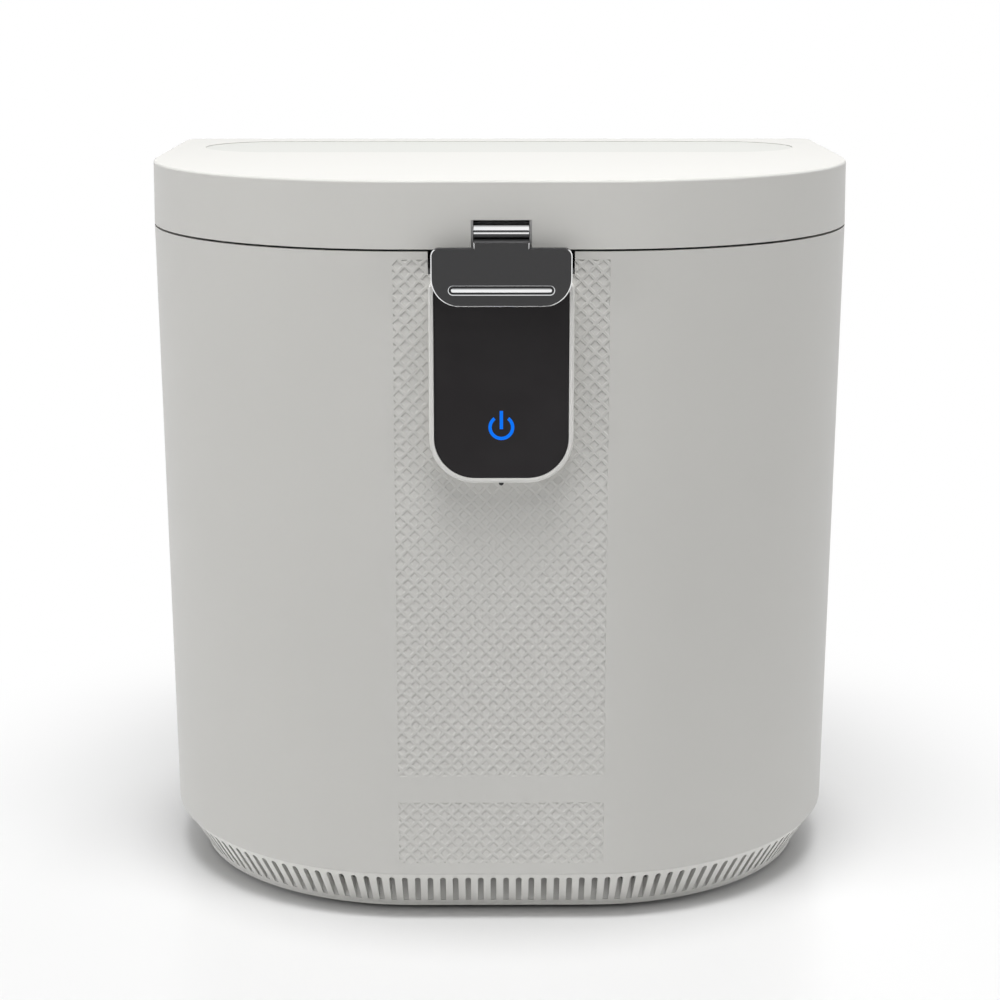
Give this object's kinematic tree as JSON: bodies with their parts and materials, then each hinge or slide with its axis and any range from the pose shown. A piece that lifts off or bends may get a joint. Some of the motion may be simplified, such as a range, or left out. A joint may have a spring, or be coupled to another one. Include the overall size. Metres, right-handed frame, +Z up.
{
  "type": "electric food waste composter",
  "caption": "D-shaped counter-top food waste composter with a hinged and latched lid, a touch panel, a heated pot with a grinding paddle, and a rear carbon filter drawer.",
  "frame": {"origin": "on the floor, under the middle of the overall box, latch and hinges included", "axes": "+Z up; +X to the right seen from the front; the front faces -Y"},
  "size_m": [0.34, 0.2674, 0.35],
  "materials": {
    "housing_light": "satin",
    "ring_grey": "satin",
    "inset_grey": "satin",
    "latch_dark": "satin",
    "bright_trim": "polished",
    "panel_dark": "gloss",
    "icon_blue": "gloss",
    "inner_grey": "satin",
    "inner_dark": "matte",
    "clear_guide": "clear",
    "board_green": "matte",
    "board_parts_black": "matte",
    "steel": "brushed",
    "bucket_coat": "satin",
    "seal_rubber": "matte",
    "cast_metal": "cast",
    "gear_metal": "machined",
    "gear_plastic": "satin",
    "bearing_metal": "ground",
    "brass": "satin",
    "heater_metal": "satin",
    "insulation_wool": "matte",
    "carbon": "matte"
  },
  "bodies": {
    "housing": {"outer_shell": "housing_light", "vent_ring": "ring_grey", "base_plate": "inner_dark", "feet": "seal_rubber", "support_plate": "steel", "top_deck": "inner_grey", "latch_keeper": "steel", "keeper_screws": "steel", "control_bezel": "housing_light", "control_panel": "panel_dark", "power_icon": "icon_blue", "light_guide": "clear_guide", "control_board": "board_green", "body_hinges": "steel", "hinge_pins": "steel", "reed_switch": "board_parts_black", "bucket": "bucket_coat", "bucket_bail": "steel", "bail_grip": "inner_dark", "bucket_bush": "gear_plastic", "cutter_bars": "steel", "bucket_well": "steel", "heater_plate": "heater_metal", "well_insulation": "insulation_wool", "gearbox_tray": "cast_metal", "gearbox_cover": "cast_metal", "output_bearings": "bearing_metal", "idler_pin": "gear_metal", "motor_case": "inner_dark", "fan_case": "inner_grey", "fan_motor": "inner_dark", "air_duct": "inner_grey", "filter_bay": "inner_grey", "drawer_seal": "seal_rubber", "inlet_socket": "inner_dark", "inlet_blades": "brass", "power_board": "board_green", "board_parts": "board_parts_black", "board_standoffs": "brass"},
    "lid": {"lid_shell": "housing_light", "lid_inset": "inset_grey", "lid_liner": "inner_grey", "lid_screws": "steel", "lid_gasket": "seal_rubber", "lid_hinges": "steel", "lid_magnet": "steel", "latch_bracket": "cast_metal", "latch_pin": "steel", "latch_spring": "steel"},
    "latch": {"latch_plate": "latch_dark", "latch_knuckle": "bright_trim", "latch_bar": "bright_trim", "latch_claw": "latch_dark"},
    "paddle": {"grinding_paddle": "cast_metal", "paddle_shaft": "gear_metal", "coupling_upper": "gear_metal", "coupling_lower": "gear_metal", "output_shaft": "gear_metal", "output_gear": "gear_metal"},
    "idler": {"idler_gear": "gear_metal"},
    "motor_rotor": {"motor_pinion": "gear_metal"},
    "fan_rotor": {"fan_impeller": "inner_dark"},
    "drawer": {"filter_drawer": "inner_grey", "drawer_pull": "inner_grey", "carbon_block": "carbon"}
  },
  "joints": [
    {"name": "lid_hinge", "type": "hinge", "parent": "housing", "child": "lid", "pos_m": [0, 0.12975, 0.3193], "axis": [-1, 0, 0], "range_deg": [0, 95]},
    {"name": "latch_hinge", "type": "hinge", "parent": "lid", "child": "latch", "pos_m": [0, -0.11795, 0.3278], "axis": [-1, 0, 0], "range_deg": [0, 70], "stiffness_Nm_per_rad": 0.05, "springref_deg": -11.46},
    {"name": "paddle_spin", "type": "hinge", "parent": "housing", "child": "paddle", "pos_m": [0, 0.00125, 0.15], "axis": [0, 0, 1], "continuous": true},
    {"name": "idler_spin", "type": "hinge", "parent": "housing", "child": "idler", "pos_m": [0.0725, 0.00125, 0.07], "axis": [0, 0, 1], "continuous": true},
    {"name": "motor_spin", "type": "hinge", "parent": "housing", "child": "motor_rotor", "pos_m": [0.11024, 0.02969, 0.08], "axis": [0, 0, 1], "continuous": true},
    {"name": "fan_spin", "type": "hinge", "parent": "housing", "child": "fan_rotor", "pos_m": [-0.10806, -0.032, 0.045], "axis": [0, 0, 1], "continuous": true},
    {"name": "drawer_slide", "type": "slide", "parent": "housing", "child": "drawer", "axis": [0, 1, 0], "range_m": [0, 0.075]}
  ],
  "couplings": [
    {"joint": "idler_spin", "follows": "paddle_spin", "ratio": -3.1429},
    {"joint": "motor_spin", "follows": "paddle_spin", "ratio": 8.9796}
  ]
}
